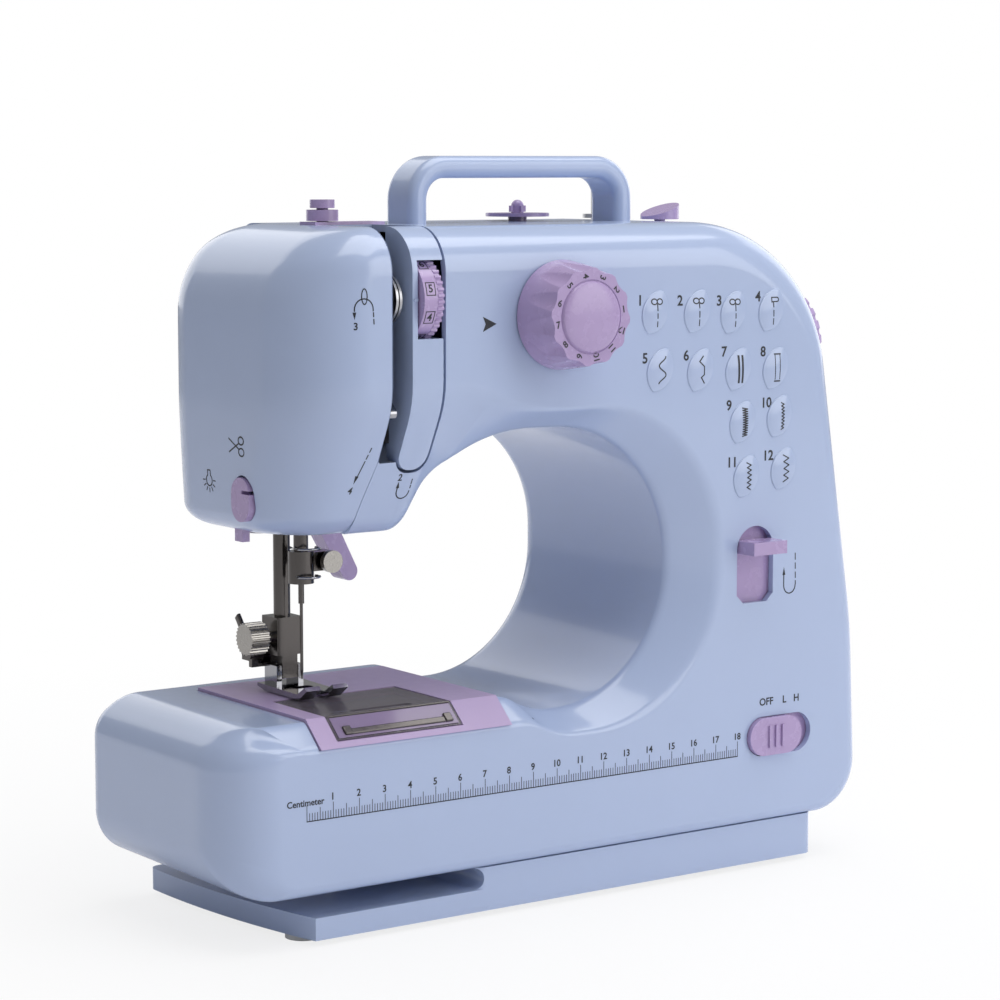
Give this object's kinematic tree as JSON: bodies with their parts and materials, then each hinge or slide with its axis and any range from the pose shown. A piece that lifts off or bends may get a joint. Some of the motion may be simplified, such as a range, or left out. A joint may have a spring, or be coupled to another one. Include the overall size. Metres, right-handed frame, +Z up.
{
  "type": "sewing machine",
  "caption": "Compact free-arm sewing machine with a stitch dial, raised stitch guide, round throat, carry handle and side handwheel.",
  "frame": {"origin": "centre of the footprint of the whole machine on the surface it stands on", "axes": "+X towards the handwheel, +Y to the back, +Z up; the dials face -Y"},
  "size_m": [0.2734, 0.1186, 0.2555],
  "materials": {
    "body_blue": "gloss",
    "lilac": "gloss",
    "smoke": "gloss",
    "dark_plastic": "matte",
    "steel": "satin",
    "chrome": "polished",
    "rubber_white": "matte",
    "belt_rubber": "matte",
    "clear_plastic": "gloss",
    "board_green": "satin"
  },
  "bodies": {
    "housing": {"front_housing": "body_blue", "rear_housing": "body_blue", "head_cover": "body_blue", "thread_channel": "dark_plastic", "guide_strip": "body_blue", "base_tray": "body_blue", "rubber_feet": "rubber_white", "carry_handle": "body_blue", "needle_plate": "lilac", "bobbin_case": "dark_plastic", "tension_discs": "steel", "motor_can": "steel", "drive_belt": "belt_rubber", "timing_belt": "belt_rubber", "shaft_bearings": "dark_plastic", "head_frame": "dark_plastic", "thread_cutter": "lilac", "lamp_lens": "clear_plastic", "spool_disc": "lilac", "pretension_guide": "lilac", "power_jack": "dark_plastic", "pedal_jack": "dark_plastic", "circuit_board": "board_green", "housing_screws": "steel"},
    "drive": {"main_shaft": "steel", "handwheel": "lilac", "crank_disc": "steel", "drive_pulley": "dark_plastic", "timing_pulley": "dark_plastic"},
    "motor": {"motor_pulley": "dark_plastic"},
    "lower_drive": {"lower_shaft": "steel", "lower_gear": "steel", "lower_pulley": "dark_plastic"},
    "hook": {"rotary_hook": "steel", "hook_gear": "steel"},
    "bobbin": {"bobbin": "clear_plastic"},
    "needle": {"needle_bar": "chrome", "needle_clamp": "chrome", "clamp_screw": "chrome", "needle": "chrome"},
    "rod": {"connecting_rod": "steel"},
    "take_up": {"take_up_lever": "steel"},
    "presser": {"presser_bar": "chrome", "presser_spring": "steel", "foot_holder": "chrome", "foot_screw": "chrome"},
    "foot": {"presser_foot": "chrome"},
    "release": {"release_lever": "dark_plastic"},
    "lifter": {"presser_lifter": "lilac"},
    "stitch": {"stitch_dial": "lilac", "stitch_cam": "clear_plastic"},
    "tension": {"tension_dial": "lilac"},
    "reverse": {"reverse_lever": "lilac"},
    "power": {"power_switch": "lilac"},
    "lamp_switch": {"light_switch": "lilac"},
    "cover": {"bobbin_cover": "smoke"},
    "feed": {"feed_dog": "steel"},
    "spool": {"spool_pin": "lilac"},
    "spindle": {"bobbin_spindle": "steel"},
    "winder": {"winder_stop": "lilac"}
  },
  "joints": [
    {"name": "handwheel_turn", "type": "hinge", "parent": "housing", "child": "drive", "pos_m": [-0.13675, 0.0095, 0.1855], "axis": [1, 0, 0], "continuous": true},
    {"name": "motor_turn", "type": "hinge", "parent": "housing", "child": "motor", "pos_m": [0.08725, 0.0095, 0.105], "axis": [1, 0, 0], "continuous": true},
    {"name": "lower_shaft_turn", "type": "hinge", "parent": "housing", "child": "lower_drive", "pos_m": [-0.00675, 0.0005, 0.038], "axis": [1, 0, 0], "continuous": true},
    {"name": "hook_turn", "type": "hinge", "parent": "housing", "child": "hook", "pos_m": [-0.07175, -0.0115, 0.05], "axis": [0, 0, 1], "continuous": true},
    {"name": "bobbin_turn", "type": "hinge", "parent": "housing", "child": "bobbin", "pos_m": [-0.07175, -0.0115, 0.06], "axis": [0, 0, 1], "continuous": true},
    {"name": "needle_bar_slide", "type": "slide", "parent": "housing", "child": "needle", "axis": [0, 0, 1], "range_m": [-0.0185, 0.0055]},
    {"name": "rod_swing", "type": "hinge", "parent": "needle", "child": "rod", "pos_m": [-0.07175, 0.0095, 0.16197], "axis": [1, 0, 0], "range_deg": [-1.5, 45]},
    {"name": "take_up_swing", "type": "hinge", "parent": "housing", "child": "take_up", "pos_m": [-0.07075, -0.0125, 0.19], "axis": [1, 0, 0], "range_deg": [-12, 39]},
    {"name": "presser_bar_slide", "type": "slide", "parent": "housing", "child": "presser", "axis": [0, 0, 1], "range_m": [0, 0.006]},
    {"name": "foot_tilt", "type": "hinge", "parent": "presser", "child": "foot", "pos_m": [-0.07935, 0.0212, 0.0803], "axis": [1, 0, 0], "range_deg": [-8, 0]},
    {"name": "foot_release", "type": "hinge", "parent": "presser", "child": "release", "pos_m": [-0.07935, 0.0285, 0.0853], "axis": [1, 0, 0], "range_deg": [-12, 0], "stiffness_Nm_per_rad": 0.004},
    {"name": "lifter_turn", "type": "hinge", "parent": "housing", "child": "lifter", "pos_m": [-0.06475, 0.0305, 0.141], "axis": [0, -1, 0], "range_deg": [0, 50]},
    {"name": "stitch_dial_turn", "type": "hinge", "parent": "housing", "child": "stitch", "pos_m": [-0.00675, -0.0395, 0.2025], "axis": [0, -1, 0], "continuous": true},
    {"name": "tension_dial_turn", "type": "hinge", "parent": "housing", "child": "tension", "pos_m": [-0.05975, -0.029, 0.209], "axis": [1, 0, 0], "range_deg": [-150, 150]},
    {"name": "reverse_press", "type": "slide", "parent": "housing", "child": "reverse", "axis": [0, 0, -1], "range_m": [0, 0.012], "stiffness_N_per_m": 120, "springref_m": -0.003},
    {"name": "power_slide", "type": "slide", "parent": "housing", "child": "power", "axis": [1, 0, 0], "range_m": [0, 0.0055]},
    {"name": "lamp_slide", "type": "slide", "parent": "housing", "child": "lamp_switch", "axis": [0, -1, 0], "range_m": [0, 0.003]},
    {"name": "bobbin_cover_slide", "type": "slide", "parent": "housing", "child": "cover", "axis": [0, -1, 0], "range_m": [0, 0.045]},
    {"name": "feed_dog_slide", "type": "slide", "parent": "housing", "child": "feed", "axis": [0, 1, 0], "range_m": [-0.0012, 0.0012]},
    {"name": "spool_pin_slide", "type": "slide", "parent": "housing", "child": "spool", "axis": [0, 0, 1], "range_m": [0, 0.03]},
    {"name": "bobbin_spindle_turn", "type": "hinge", "parent": "housing", "child": "spindle", "pos_m": [0.06175, 0.0295, 0.232], "axis": [0, 0, 1], "continuous": true},
    {"name": "winder_stop_turn", "type": "hinge", "parent": "housing", "child": "winder", "pos_m": [0.07425, 0.0095, 0.232], "axis": [0, 0, 1], "range_deg": [-40, 40]}
  ],
  "couplings": [
    {"joint": "motor_turn", "follows": "handwheel_turn", "ratio": 3.4},
    {"joint": "lower_shaft_turn", "follows": "handwheel_turn", "ratio": 2},
    {"joint": "hook_turn", "follows": "handwheel_turn", "ratio": 2},
    {"joint": "take_up_swing", "follows": "needle_bar_slide", "rad_per_m": -36.36},
    {"joint": "lifter_turn", "follows": "presser_bar_slide", "rad_per_m": 145.4}
  ]
}
